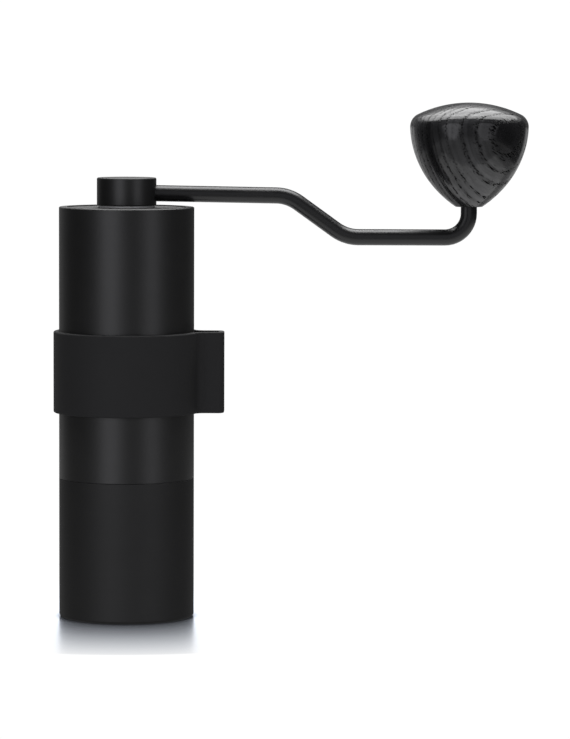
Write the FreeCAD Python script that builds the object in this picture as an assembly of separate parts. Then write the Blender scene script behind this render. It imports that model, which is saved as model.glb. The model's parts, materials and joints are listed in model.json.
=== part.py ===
"""Hand crank coffee grinder, in millimetres.

The origin is the centre of the flat foot of the catch cup. +Z runs up the burr shaft, and +X
runs along the crank arm towards the knob. Radii and heights below are measured from there.

From the foot upwards: a catch cup held by magnets, the body tube with the ring burr clamped on
a shelf at its lower end, two spoked brackets that each carry a ball bearing, the shaft with the
conical burr and its adjusting dial, and a lid that the crank turns in.
"""
import FreeCAD, Part
import math
import os

# ---- Body tube and catch cup ----
BODY_D = 50.0             # outside diameter of the tube and the cup
CUP_H = 51.6              # foot of the cup to the joint
TUBE_H = 100.4            # joint to the rim
TUBE_WALL = 4.0           # wall around the ring burr
HOPPER_WALL = 3.5         # wall above the seat of the upper bracket
RIM_WALL = 3.0            # wall around the lid
CUP_WALL = 2.5
CUP_FLOOR = 3.0
CUP_CORNER_R = 2.5        # inside corner between the cup's floor and wall
CUP_FOOT_R = 1.0          # rounding around the cup's foot
EDGE_BREAK = 0.3          # chamfer on turned outside edges
SEAM_BREAK = 0.15         # finer chamfer where the tube meets the cup

# ---- Joint between the tube and the cup ----
JOINT_FACE = 4.6          # width of the ring face that the tube stands on
SPIGOT_H = 4.0            # lip of the tube that drops into the cup
SPIGOT_WALL = 1.15
SPIGOT_CLEARANCE = 0.3
MOUTH_BAND_H = 4.5        # thickened band inside the cup's mouth
MAGNET_D = 3.0
MAGNET_H = 2.0
MAGNET_COUNT = 6
MAGNET_SINK = 0.05        # each magnet lies this far below its face

# ---- Burr set ----
SHELF_H = 3.0             # shelf above the joint that the ring burr seats on
RING_FIT = 0.1            # radial clearance of the ring burr in the tube
RING_H = 13.0
RING_EXIT_WALL = 2.5      # ring burr's wall at its lower edge
RING_FUNNEL_WALL = 3.9    # ring burr's wall at its upper edge
THROAT_D = 28.2           # across the ring burr's crests where fine and coarse teeth meet
FINE_H = 7.0              # height of the fine teeth
FINE_DEPTH = 0.9
FINE_TWIST = 18.0         # degrees that the fine teeth wind over their height
RING_FINE_TEETH = 40
BURR_FINE_TEETH = 36
FLUTE_TWIST = 60.0        # degrees that the coarse flutes wind over the burr's nose
FLUTE_COUNT = 7
FLUTE_DEPTH = 4.2         # depth of the burr's flutes at the throat
FLUTE_END_DEPTH = 1.3     # depth of the burr's flutes at the nose
RING_FLUTE_DEPTH = 1.8
BURR_GAP = 0.5            # radial gap between the two burrs
BURR_SKIRT = 1.0          # the burr reaches this far below the ring burr
NOSE_H = 12.0             # throat to the top of the burr
NOSE_D = 13.6

# ---- Shaft ----
SHAFT_D = 8.0
SHAFT_TOP_DROP = 1.4      # the shaft ends this far below the rim
HEX_H = 10.6              # length of the hexagonal drive end
FLAT_CUT = 0.8            # depth of each of the two flats that drive the burr
THREAD_STEP = 1.0         # the threaded end is this much smaller in radius
RUNNING_FIT = 0.05        # radial clearance of parts that slide or turn on another
SEATED_FIT = 0.02         # radial clearance of parts pressed or screwed together
LAND_GAP = 0.05           # axial clearance beside washers, clips and collars

# ---- Adjusting dial and its detents ----
DIAL_D = 26.0
DIAL_H = 7.2
DIAL_BOSS_D = 15.0
DIAL_BOSS_H = 0.3
DIAL_RECESS = 2.2         # recess under the dial
DIAL_RECESS_WALL = 3.2
DIAL_TURN_UP = 0.55       # travel towards a finer grind
DIAL_TURN_DOWN = 1.2      # travel towards a coarser grind
SCALLOP_COUNT = 12
SCALLOP_R = 2.6
SCALLOP_DEPTH = 0.9
DETENT_CIRCLE_D = 19.0
DETENT_BALL_D = 2.0
DETENT_HOLE_DEPTH = 4.6
DETENT_WIRE_D = 0.3
DETENT_COUNT = 2
CLICK_COUNT = 12
CLICK_DEPTH = 0.35

# ---- Ball bearings (8 x 16 x 5) ----
BEARING_D = 16.0
BEARING_W = 5.0
RACE_FLOOR = 0.81         # metal between a race's groove and its back
RACE_LAND = 1.05          # thickness of a race beside its groove
GROOVE_CLEARANCE = 0.03
BALL_COUNT = 9
CAGE_WALL = 0.9
CAGE_H = 3.2
SHIELD_T = 0.25
SHIELD_SINK = 0.15        # each shield lies this far inside the bearing's face

# ---- Brackets ----
BRACKET_RING_WALL = 2.4
BRACKET_HUB_WALL = 3.0
BRACKET_LIP_H = 2.0       # lip that stops the lower bearing
UPPER_LIP_H = 4.0         # lip that carries the upper bearing
LOWER_HUB_H = 10.0
UPPER_HUB_H = 10.0
UPPER_SEAT_DEPTH = 30.0   # rim to the shelf of the upper bracket
SPOKE_W = 5.0
SPOKE_H = 7.0
SPOKE_COUNT = 3
SPOKE_ANGLE = 90.0        # direction of the first spoke, in degrees from +X
LUG_W = 5.0
LUG_H = 2.0
LUG_CLEARANCE = 0.15
SCREW_D = 3.0
SCREW_HEAD_D = 5.6
SCREW_LENGTH = 8.0
SCREW_SINK = 0.4          # each head lies this far below the tube's surface
SCREW_SOCKET_AF = 2.0
SCREW_SOCKET_DEPTH = 1.2

# ---- Retaining clips ----
CLIP_T = 1.15
CLIP_GROOVE_T = 1.25
CLIP_W = 2.2
CLIP_GROOVE_DEPTH = 0.8
CLIP_OPENING = 12.0       # half of the gap in the bracket's clip, in degrees
CLIP_LUG_R = 1.5
CLIP_EYE_R = 0.6
SNAP_WIRE_D = 0.8         # snap rings on the shaft and on the arm

# ---- Burr spring ----
SPRING_LENGTH = 4.9
SPRING_D = 11.2
SPRING_WIRE_D = 1.0
SPRING_TURNS = 2.5
SPRING_SEAT_D = 12.6
SPRING_SEAT_T = 0.5
SPRING_COLLAR_H = 0.6

# ---- Lid and crank hub ----
LID_T = 2.5
LID_RECESS = 0.3          # the lid's top lies this far below the rim
LID_CLEARANCE = 0.2       # radial clearance of the lid in the rim
LID_PLAY = 0.3            # gap between the lid and the retainer below it
HUB_GAP = 0.9             # gap between the lid and the hub's drum
HUB_D = 22.0
HUB_H = 10.2
HUB_EDGE_R = 0.6
NECK_WALL = 2.6           # neck around the drive socket
CORE_WALL = 1.9           # threaded core around the drive socket
SOCKET_CLEARANCE = 0.1    # clearance of the socket on each face of the hexagon
SOCKET_END_GAP = 0.4
RETAINER_D = 21.6
RETAINER_H = 3.3
NUT_D = 21.2
NUT_H = 3.6
NUT_STEP = 1.4            # radial depth of the groove between retainer and nut
NUT_COLLAR_H = 0.4
NUT_EDGE = 0.8
GRUB_D = 4.0
GRUB_SOCKET_AF = 2.0
GRUB_SOCKET_DEPTH = 1.6

# ---- Crank arm ----
ARM_D = 6.0
ARM_HEIGHT = 4.6          # rod's axis above the foot of the drum, at the shaft
ARM_DEPTH = 8.0           # how far the rod's end passes the shaft's axis
ARM_FALL = 0.9            # drop of the rod from the shaft to its first bend
ARM_FIRST_X = 59.8        # first bend
ARM_SECOND_X = 81.0       # second bend
ARM_STEP = 15.25          # drop between the first two bends
ARM_BEND_R = 14.5         # both of those bends
ARM_ELBOW_R = 8.8         # bend below the knob
CRANK_R = 126.4           # shaft to knob
KNOB_RISE = 11.4          # arm's low run to the foot of the knob
ARM_BORE_FIT = 0.03

# ---- Knob ----
KNOB_D = 43.7
KNOB_H = 38.4
KNOB_FOOT_D = 9.9
KNOB_FLARE = 55.7         # degrees from the vertical at which the side leaves the foot
KNOB_FLARE_REACH = 18.6   # how far the side keeps that direction
KNOB_SIDE_REACH = 4.5     # how far the side keeps upright below the rim
KNOB_RIM_R = 5.1
KNOB_DOME_R = 43.6
SPINDLE_D = 5.0
SHOULDER_RISE = 2.0       # foot of the knob to the shoulder of the spindle
BUSH_D = 9.0
BUSH_LENGTH = 21.5
WASHER_T = 0.4
SPINDLE_END = 1.5         # spindle beyond its snap ring
CAVITY_ROOM = 2.6         # free height above the spindle

# ---- Band around the tube ----
BAND_BASE = 24.4          # joint to the foot of the band
BAND_H = 30.0
BAND_WALL = 2.0
BAND_FIT = 0.05
BAND_EDGE_R = 0.5
POCKET_PLAY = 0.6         # room beside the rod in the pocket
POCKET_REACH = 5.6        # body surface to the axis of the rod in the pocket
POCKET_CORNER_R = 0.6     # inside corners at the pocket's end
POCKET_BEND_R = 3.5       # hollow bend where the pocket leaves the sleeve, outside

# ---- Heights worked out from the sizes above ----
JOINT_Z = CUP_H
RIM_Z = JOINT_Z + TUBE_H
SHELF_Z = JOINT_Z + SHELF_H
THROAT_Z = SHELF_Z + FINE_H
RING_TOP_Z = SHELF_Z + RING_H
BURR_FOOT_Z = SHELF_Z - BURR_SKIRT
NOSE_Z = THROAT_Z + NOSE_H
SPRING_TOP_Z = NOSE_Z + SPRING_LENGTH
LOWER_BEARING_Z = SPRING_TOP_Z + SPRING_SEAT_T + SPRING_COLLAR_H
LOWER_HUB_TOP_Z = LOWER_BEARING_Z + BEARING_W + BRACKET_LIP_H
LOWER_SPOKE_Z = LOWER_HUB_TOP_Z - LOWER_HUB_H / 2
UPPER_SEAT_Z = RIM_Z - UPPER_SEAT_DEPTH
UPPER_BEARING_Z = UPPER_SEAT_Z + UPPER_LIP_H
UPPER_HUB_TOP_Z = UPPER_SEAT_Z + UPPER_HUB_H
SHAFT_TOP_Z = RIM_Z - SHAFT_TOP_DROP
DIAL_TOP_Z = BURR_FOOT_Z
DIAL_FACE_Z = DIAL_TOP_Z - DIAL_BOSS_H
DIAL_FOOT_Z = DIAL_FACE_Z - DIAL_H
THREAD_TOP_Z = DIAL_TOP_Z + DIAL_TURN_UP + 0.5
SHAFT_FOOT_Z = DIAL_FOOT_Z - DIAL_TURN_DOWN - 0.8
LID_TOP_Z = RIM_Z - LID_RECESS
LID_FOOT_Z = LID_TOP_Z - LID_T
DRUM_FOOT_Z = LID_TOP_Z + HUB_GAP
DRUM_TOP_Z = DRUM_FOOT_Z + HUB_H
NECK_FOOT_Z = LID_FOOT_Z - LID_PLAY
RETAINER_FOOT_Z = NECK_FOOT_Z - RETAINER_H
NUT_TOP_Z = RETAINER_FOOT_Z - NUT_COLLAR_H
NUT_FOOT_Z = NUT_TOP_Z - NUT_H
SOCKET_TOP_Z = SHAFT_TOP_Z + SOCKET_END_GAP
ARM_Z = DRUM_FOOT_Z + ARM_HEIGHT
ARM_LOW_Z = ARM_Z - ARM_FALL - ARM_STEP
KNOB_FOOT_Z = ARM_LOW_Z + KNOB_RISE
SHOULDER_Z = KNOB_FOOT_Z + SHOULDER_RISE
BUSH_FOOT_Z = SHOULDER_Z + WASHER_T + 2 * LAND_GAP
BUSH_TOP_Z = BUSH_FOOT_Z + BUSH_LENGTH
SPINDLE_TOP_Z = BUSH_TOP_Z + LAND_GAP + SNAP_WIRE_D + SPINDLE_END
BAND_Z = JOINT_Z + BAND_BASE

# ---- Radii worked out from the sizes above ----
BODY_R = BODY_D / 2
BURR_BORE_R = BODY_R - TUBE_WALL
HOPPER_R = BODY_R - HOPPER_WALL
LID_BORE_R = BODY_R - RIM_WALL
CUP_R = BODY_R - CUP_WALL
SPIGOT_R = BODY_R - JOINT_FACE
SHELF_BORE_R = SPIGOT_R - SPIGOT_WALL
MAGNET_CIRCLE_R = (SPIGOT_R + SPIGOT_CLEARANCE + BODY_R) / 2
RING_R = BURR_BORE_R - RING_FIT
RING_EXIT_R = RING_R - RING_EXIT_WALL
RING_FUNNEL_R = RING_R - RING_FUNNEL_WALL
THROAT_R = THROAT_D / 2
RING_SLOPE = (RING_EXIT_R - THROAT_R) / FINE_H
BURR_FOOT_R = RING_EXIT_R - BURR_GAP + RING_SLOPE * BURR_SKIRT
SHAFT_R = SHAFT_D / 2
THREAD_R = SHAFT_R - THREAD_STEP
HEX_R = SHAFT_R - SEATED_FIT
HEX_AF = 2 * HEX_R * math.cos(math.pi / 6)
BEARING_R = BEARING_D / 2
BALL_PITCH_R = (SHAFT_R + BEARING_R) / 2
BALL_R = (BEARING_R - SHAFT_R) / 2 - RACE_FLOOR - GROOVE_CLEARANCE
BRACKET_BORE_R = BURR_BORE_R - BRACKET_RING_WALL
BRACKET_HUB_R = BEARING_R + BRACKET_HUB_WALL
BEARING_LIP_R = BEARING_R - RACE_LAND
SOCKET_AF = HEX_AF + 2 * SOCKET_CLEARANCE
SOCKET_CORNER_R = SOCKET_AF / 2 / math.cos(math.pi / 6)
NECK_R = SOCKET_CORNER_R + NECK_WALL
CORE_R = SOCKET_CORNER_R + CORE_WALL
POCKET_R = ARM_D / 2 + POCKET_PLAY
POCKET_X = BODY_R + POCKET_REACH

ORIGIN = FreeCAD.Vector(0, 0, 0)
UP = FreeCAD.Vector(0, 0, 1)


# ---- Building blocks ----

def rounded_edges(points, radii, closed):
    """Straight edges along the points, with a tangent arc at each corner that has a radius."""
    count = len(points)
    corners = []
    for index, corner in enumerate(points):
        if not radii[index]:
            corners.append((corner, None, corner))
            continue
        before = (points[index - 1] - corner).normalize()
        after = (points[(index + 1) % count] - corner).normalize()
        half = before.getAngle(after) / 2
        reach = radii[index] / math.tan(half)
        inward = (before + after).normalize()
        middle = corner + inward * (radii[index] / math.sin(half) - radii[index])
        corners.append((corner + before * reach, middle, corner + after * reach))
    edges = []
    for index, (start, middle, end) in enumerate(corners):
        if middle is not None:
            edges.append(Part.Arc(start, middle, end).toShape())
        if index == count - 1 and not closed:
            break
        following = corners[(index + 1) % count][0]
        if end.distanceToPoint(following) > 1e-6:
            edges.append(Part.LineSegment(end, following).toShape())
    return edges


def turned(*outline):
    """Solid turned about Z from corners given as (radius, height) or (radius, height, rounding)."""
    points = [FreeCAD.Vector(corner[0], 0, corner[1]) for corner in outline]
    radii = [corner[2] if len(corner) > 2 else 0 for corner in outline]
    wire = Part.Wire(rounded_edges(points, radii, True))
    return Part.Face(wire).revolve(ORIGIN, UP, 360)


def ring(outer, inner, foot, top):
    """Plain ring, or a disc where the inner radius is 0."""
    return turned((inner, foot), (outer, foot), (outer, top), (inner, top))


def polar(radius, degrees, z):
    angle = math.radians(degrees)
    return FreeCAD.Vector(radius * math.cos(angle), radius * math.sin(angle), z)


def polygon(points):
    return Part.makePolygon(points + [points[0]])


def prism(points, height):
    """Solid raised along Z from a flat closed outline."""
    return Part.Face(polygon(points)).extrude(UP * height)


def hexagon(across_flats, foot, top):
    corner = across_flats / 2 / math.cos(math.pi / 6)
    return prism([polar(corner, 60 * side, foot) for side in range(6)], top - foot)


def block(x0, x1, width, foot, top):
    """Box along X, centred on the XZ plane."""
    return Part.makeBox(x1 - x0, width, top - foot, FreeCAD.Vector(x0, -width / 2, foot))


def turn_to(shape, degrees):
    """Copy of a shape turned about Z."""
    turned_shape = shape.copy()
    turned_shape.rotate(ORIGIN, UP, degrees)
    return turned_shape


def round_about(shape, count, first=0.0):
    """Copies of a shape spread evenly about Z."""
    return [turn_to(shape, first + 360.0 * index / count) for index in range(count)]


def coil(mean_r, wire_r, foot, top, turns):
    """Helical spring between two heights."""
    rise = top - foot - 2 * wire_r
    path = Part.makeHelix(rise / turns, rise, mean_r)
    path.translate(UP * (foot + wire_r))
    start = FreeCAD.Vector(mean_r, 0, foot + wire_r)
    along_wire = FreeCAD.Vector(0, 2 * math.pi * mean_r, rise / turns)
    section = Part.Wire(Part.makeCircle(wire_r, start, along_wire))
    return Part.Wire(path).makePipeShell([section], True, True)


def snap_ring(inner_r, foot):
    """Round wire ring, open over a quarter turn, that springs into a groove."""
    wire_r = SNAP_WIRE_D / 2
    section = Part.makeCircle(wire_r, FreeCAD.Vector(inner_r + wire_r, 0, foot + wire_r),
                              FreeCAD.Vector(0, 1, 0))
    return Part.Face(Part.Wire(section)).revolve(ORIGIN, UP, 270)


def snap_groove(inner_r, outer_r, foot):
    """Room for a snap ring in the bar that carries it."""
    return ring(outer_r, inner_r - SEATED_FIT, foot - LAND_GAP / 2, foot + SNAP_WIRE_D + LAND_GAP / 2)


# ---- Catch cup ----

def catch_cup():
    mouth_r = SPIGOT_R + SPIGOT_CLEARANCE
    band_z = JOINT_Z - MOUTH_BAND_H
    cup = turned(
        (0, 0), (BODY_R, 0, CUP_FOOT_R),
        (BODY_R, JOINT_Z - SEAM_BREAK), (BODY_R - SEAM_BREAK, JOINT_Z), (mouth_r, JOINT_Z),
        (mouth_r, band_z), (CUP_R, band_z - (CUP_R - mouth_r)),
        (CUP_R, CUP_FLOOR, CUP_CORNER_R), (0, CUP_FLOOR))
    return cup.cut(magnet_pockets(JOINT_Z - MAGNET_SINK - MAGNET_H, JOINT_Z))


def magnet_pockets(foot, top):
    pocket = ring(MAGNET_D / 2 + SEATED_FIT, 0, foot, top)
    pocket.translate(FreeCAD.Vector(MAGNET_CIRCLE_R, 0, 0))
    return round_about(pocket, MAGNET_COUNT, 180.0 / MAGNET_COUNT)


def magnets(foot):
    magnet = ring(MAGNET_D / 2, 0, foot, foot + MAGNET_H)
    magnet.translate(FreeCAD.Vector(MAGNET_CIRCLE_R, 0, 0))
    return round_about(magnet, MAGNET_COUNT, 180.0 / MAGNET_COUNT)


# ---- Body tube ----

def body_tube():
    tube = turned(
        (SHELF_BORE_R, JOINT_Z - SPIGOT_H), (SPIGOT_R - EDGE_BREAK, JOINT_Z - SPIGOT_H),
        (SPIGOT_R, JOINT_Z - SPIGOT_H + EDGE_BREAK), (SPIGOT_R, JOINT_Z),
        (BODY_R - SEAM_BREAK, JOINT_Z), (BODY_R, JOINT_Z + SEAM_BREAK),
        (BODY_R, RIM_Z - EDGE_BREAK), (BODY_R - EDGE_BREAK, RIM_Z),
        (LID_BORE_R, RIM_Z), (LID_BORE_R, LID_FOOT_Z), (HOPPER_R, LID_FOOT_Z),
        (HOPPER_R, UPPER_SEAT_Z), (BURR_BORE_R, UPPER_SEAT_Z), (BURR_BORE_R, SHELF_Z),
        (SHELF_BORE_R, SHELF_Z))
    groove = ring(HOPPER_R + CLIP_GROOVE_DEPTH, HOPPER_R - EDGE_BREAK,
                  UPPER_HUB_TOP_Z, UPPER_HUB_TOP_Z + CLIP_GROOVE_T)
    pockets = magnet_pockets(JOINT_Z, JOINT_Z + MAGNET_SINK + MAGNET_H)
    return tube.cut([groove] + pockets + screw_holes())


# ---- Screws through the tube into the lower bracket ----

def at_screw(shape):
    """Lay a shape made along Z radially along X, at the height of the lower spokes."""
    shape.rotate(ORIGIN, FreeCAD.Vector(0, 1, 0), 90)
    shape.translate(FreeCAD.Vector(BODY_R - SCREW_SINK, 0, LOWER_SPOKE_Z))
    return shape


def screw_form(clearance):
    """Countersunk screw that hangs below the XY plane."""
    shank_r = SCREW_D / 2 + clearance
    head_r = SCREW_HEAD_D / 2 + clearance
    return turned((0, -SCREW_LENGTH - clearance), (shank_r, -SCREW_LENGTH - clearance),
                  (shank_r, shank_r - head_r), (head_r, 0), (0, 0))


def screw_holes():
    mouth = ring(SCREW_HEAD_D / 2 + SEATED_FIT, 0, 0, SCREW_SINK + EDGE_BREAK)
    return round_about(at_screw(screw_form(SEATED_FIT).fuse(mouth)), SPOKE_COUNT, SPOKE_ANGLE)


def bracket_screw():
    return at_screw(screw_form(0).cut(hexagon(SCREW_SOCKET_AF, -SCREW_SOCKET_DEPTH, EDGE_BREAK)))


# ---- Brackets that carry the bearings ----

def spoked_bracket(outer_r, foot, hub_foot, top, spoke_z):
    """Outer ring, three spokes and a solid hub."""
    rim = ring(outer_r, BRACKET_BORE_R, foot, top)
    hub = turned((0, hub_foot), (BRACKET_HUB_R - EDGE_BREAK, hub_foot),
                 (BRACKET_HUB_R, hub_foot + EDGE_BREAK), (BRACKET_HUB_R, top - EDGE_BREAK),
                 (BRACKET_HUB_R - EDGE_BREAK, top), (0, top))
    spoke = block(0, BRACKET_BORE_R + BRACKET_RING_WALL / 2, SPOKE_W,
                  spoke_z - SPOKE_H / 2, spoke_z + SPOKE_H / 2)
    return rim.fuse([hub] + round_about(spoke, SPOKE_COUNT, SPOKE_ANGLE))


def lower_bracket():
    outer_r = BURR_BORE_R - RUNNING_FIT
    hub_foot = LOWER_HUB_TOP_Z - LOWER_HUB_H
    bracket = spoked_bracket(outer_r, RING_TOP_Z, hub_foot, LOWER_HUB_TOP_Z, LOWER_SPOKE_Z)
    lug = block(BRACKET_BORE_R, outer_r, LUG_W, RING_TOP_Z - LUG_H, RING_TOP_Z + LUG_H)
    lug = lug.common(ring(outer_r, BRACKET_BORE_R, RING_TOP_Z - LUG_H, RING_TOP_Z + LUG_H))
    bracket = bracket.fuse(round_about(lug, SPOKE_COUNT, SPOKE_ANGLE + 180.0 / SPOKE_COUNT))
    seat = ring(BEARING_R + SEATED_FIT, 0, hub_foot, LOWER_BEARING_Z + BEARING_W)
    opening = ring(BEARING_LIP_R, 0, hub_foot, LOWER_HUB_TOP_Z)
    return bracket.cut([seat, opening] + screw_holes()).removeSplitter()


def upper_bracket():
    outer_r = HOPPER_R - RUNNING_FIT
    spoke_z = UPPER_SEAT_Z + SPOKE_H / 2
    bracket = spoked_bracket(outer_r, UPPER_SEAT_Z, UPPER_SEAT_Z, UPPER_HUB_TOP_Z, spoke_z)
    seat = ring(BEARING_R + SEATED_FIT, 0, UPPER_BEARING_Z, UPPER_HUB_TOP_Z)
    opening = ring(BEARING_LIP_R, 0, UPPER_SEAT_Z, UPPER_HUB_TOP_Z)
    return bracket.cut([seat, opening]).removeSplitter()


def bracket_clip():
    """Internal retaining ring with two eyes, opening over a spoke."""
    foot = UPPER_HUB_TOP_Z + LAND_GAP
    outer_r = HOPPER_R + CLIP_GROOVE_DEPTH - RUNNING_FIT
    inner_r = outer_r - CLIP_W
    clip = ring(outer_r, inner_r, foot, foot + CLIP_T)
    gap = prism([FreeCAD.Vector(0, 0, foot), polar(2 * outer_r, -CLIP_OPENING, foot),
                 polar(2 * outer_r, CLIP_OPENING, foot)], CLIP_T)
    eyes = []
    holes = []
    for side in (-1, 1):
        centre = polar(inner_r + CLIP_W / 4, side * (CLIP_OPENING + 4.0), foot)
        eyes.append(Part.makeCylinder(CLIP_LUG_R, CLIP_T, centre))
        holes.append(Part.makeCylinder(CLIP_EYE_R, CLIP_T, centre))
    clip = clip.cut(gap).fuse(eyes).cut(holes).removeSplitter()
    return turn_to(clip, SPOKE_ANGLE + 360.0 / SPOKE_COUNT)


# ---- Ball bearings ----

def groove_ring(foot):
    """Ring of round section that both races' grooves are cut with."""
    return Part.makeTorus(BALL_PITCH_R, BALL_R + GROOVE_CLEARANCE,
                          FreeCAD.Vector(0, 0, foot + BEARING_W / 2))


def outer_race(foot):
    race = ring(BEARING_R, BEARING_R - RACE_LAND, foot, foot + BEARING_W)
    return race.cut(groove_ring(foot))


def inner_race(foot):
    race = ring(SHAFT_R + RACE_LAND, SHAFT_R + SEATED_FIT, foot, foot + BEARING_W)
    return race.cut(groove_ring(foot))


def balls(foot):
    ball = Part.makeSphere(BALL_R, FreeCAD.Vector(BALL_PITCH_R, 0, foot + BEARING_W / 2))
    return Part.makeCompound(round_about(ball, BALL_COUNT))


def ball_cage(foot):
    middle = foot + BEARING_W / 2
    cage = ring(BALL_PITCH_R + CAGE_WALL / 2, BALL_PITCH_R - CAGE_WALL / 2,
                middle - CAGE_H / 2, middle + CAGE_H / 2)
    window = Part.makeCylinder(BALL_R + RUNNING_FIT, BEARING_R, FreeCAD.Vector(0, 0, middle),
                               FreeCAD.Vector(1, 0, 0))
    return cage.cut(round_about(window, BALL_COUNT))


def bearing_shields(foot):
    """Two thin rings in the mouth of the outer race that keep the grounds out."""
    inner_r = SHAFT_R + RACE_LAND + 4 * RUNNING_FIT
    outer_r = BEARING_R - RACE_LAND - SEATED_FIT
    low = foot + SHIELD_SINK
    high = foot + BEARING_W - SHIELD_SINK - SHIELD_T
    return Part.makeCompound([ring(outer_r, inner_r, z, z + SHIELD_T) for z in (low, high)])


# ---- Burrs ----

def toothed_outline(crest_r, root_r, count, degrees, z):
    """Sawtooth outline: each tooth has a steep face and a long back."""
    points = []
    for tooth in range(count):
        angle = degrees + 360.0 * tooth / count
        points.append(polar(crest_r, angle, z))
        points.append(polar(root_r, angle + 0.8 * 360.0 / count, z))
    return polygon(points)


def toothed_cone(foot, top, foot_radii, top_radii, count, twist, steps=1, start=0.0):
    """Cone with helical teeth. Each pair of radii gives the crest and the root of the teeth."""
    outlines = []
    for step in range(steps + 1):
        share = step / steps
        crest = foot_radii[0] + (top_radii[0] - foot_radii[0]) * share
        root = foot_radii[1] + (top_radii[1] - foot_radii[1]) * share
        outlines.append(toothed_outline(crest, root, count, start + twist * share,
                                        foot + (top - foot) * share))
    return Part.makeLoft(outlines, True, True)


def ring_burr():
    """Fixed burr: fine teeth below the throat, coarse flutes in the funnel above it."""
    blank = turned((BURR_GAP, SHELF_Z), (RING_R - EDGE_BREAK, SHELF_Z), (RING_R, SHELF_Z + EDGE_BREAK),
                   (RING_R, RING_TOP_Z), (BURR_GAP, RING_TOP_Z))
    fine = toothed_cone(SHELF_Z, THROAT_Z, (RING_EXIT_R, RING_EXIT_R + FINE_DEPTH),
                        (THROAT_R, THROAT_R + FINE_DEPTH), RING_FINE_TEETH, FINE_TWIST)
    coarse = toothed_cone(THROAT_Z, RING_TOP_Z, (THROAT_R, THROAT_R + RING_FLUTE_DEPTH),
                          (RING_FUNNEL_R, RING_FUNNEL_R + RING_FLUTE_DEPTH),
                          FLUTE_COUNT, FLUTE_TWIST * (RING_TOP_Z - THROAT_Z) / NOSE_H, 2)
    funnel = Part.makeCone(THROAT_R, RING_FUNNEL_R, RING_TOP_Z - THROAT_Z,
                           FreeCAD.Vector(0, 0, THROAT_Z))
    notch = block(0, BODY_R, LUG_W + 2 * LUG_CLEARANCE, RING_TOP_Z - LUG_H - LUG_CLEARANCE, RING_TOP_Z)
    notch = notch.cut(ring(BRACKET_BORE_R - LUG_CLEARANCE, 0, SHELF_Z, RING_TOP_Z))
    notches = round_about(notch, SPOKE_COUNT, SPOKE_ANGLE + 180.0 / SPOKE_COUNT)
    return blank.cut(fine).cut(coarse).cut(funnel).cut(notches)


def inner_burr():
    """Turning burr: fine teeth on the skirt and deep helical flutes up to its nose."""
    foot_r = BURR_FOOT_R
    throat_r = THROAT_R - BURR_GAP
    nose_r = NOSE_D / 2
    skirt = toothed_cone(BURR_FOOT_Z, THROAT_Z, (foot_r, foot_r - FINE_DEPTH),
                         (throat_r, throat_r - FINE_DEPTH), BURR_FINE_TEETH, FINE_TWIST)
    nose = toothed_cone(THROAT_Z, NOSE_Z, (throat_r, throat_r - FLUTE_DEPTH),
                        (nose_r, nose_r - FLUTE_END_DEPTH), FLUTE_COUNT, FLUTE_TWIST, 4, FINE_TWIST)
    burr = skirt.fuse(nose)
    bore = double_flat(SHAFT_R + RUNNING_FIT, RUNNING_FIT, BURR_FOOT_Z, NOSE_Z)
    click = Part.makeSphere(DETENT_BALL_D / 2 + RUNNING_FIT,
                            FreeCAD.Vector(DETENT_CIRCLE_D / 2, 0,
                                           BURR_FOOT_Z - DETENT_BALL_D / 2 + CLICK_DEPTH))
    return burr.cut([bore] + round_about(click, CLICK_COUNT, 90.0))


def double_flat(radius, clearance, foot, top):
    """Round bar with two flats parallel to the XZ plane."""
    bar = ring(radius, 0, foot, top)
    return bar.common(block(-2 * radius, 2 * radius, 2 * (SHAFT_R - FLAT_CUT + clearance), foot, top))


# ---- Shaft ----

def drive_shaft():
    hex_foot = SHAFT_TOP_Z - HEX_H
    flats_top = NOSE_Z + DIAL_TURN_UP + 0.5
    thread = turned((0, SHAFT_FOOT_Z), (THREAD_R - EDGE_BREAK, SHAFT_FOOT_Z),
                    (THREAD_R, SHAFT_FOOT_Z + EDGE_BREAK), (THREAD_R, THREAD_TOP_Z), (0, THREAD_TOP_Z))
    flats = double_flat(SHAFT_R, 0, THREAD_TOP_Z, flats_top)
    bar = ring(SHAFT_R, 0, flats_top, hex_foot)
    drive = hexagon(HEX_AF, hex_foot, SHAFT_TOP_Z)
    drive = drive.common(turned((0, hex_foot), (SHAFT_R, hex_foot), (SHAFT_R, SHAFT_TOP_Z - 2 * EDGE_BREAK),
                                (SHAFT_R - 2 * EDGE_BREAK, SHAFT_TOP_Z), (0, SHAFT_TOP_Z)))
    groove = snap_groove(SHAFT_R - SNAP_WIRE_D / 2, SHAFT_R + EDGE_BREAK,
                         UPPER_BEARING_Z + BEARING_W + LAND_GAP)
    return thread.fuse([flats, bar, drive]).cut(groove).removeSplitter()


def shaft_snap_ring():
    return snap_ring(SHAFT_R - SNAP_WIRE_D / 2, UPPER_BEARING_Z + BEARING_W + LAND_GAP)


def spring_seat():
    """Flanged collar between the burr spring and the lower bearing's inner race."""
    inner_r = SHAFT_R + RUNNING_FIT
    collar_r = SHAFT_R + RACE_LAND - RUNNING_FIT
    flange_top = SPRING_TOP_Z + SPRING_SEAT_T
    return turned((inner_r, SPRING_TOP_Z), (SPRING_SEAT_D / 2, SPRING_TOP_Z), (SPRING_SEAT_D / 2, flange_top),
                  (collar_r, flange_top), (collar_r, LOWER_BEARING_Z), (inner_r, LOWER_BEARING_Z))


def burr_spring():
    return coil((SPRING_D - SPRING_WIRE_D) / 2, SPRING_WIRE_D / 2, NOSE_Z + LAND_GAP,
                SPRING_TOP_Z - LAND_GAP, SPRING_TURNS)


# ---- Adjusting dial ----

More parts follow.
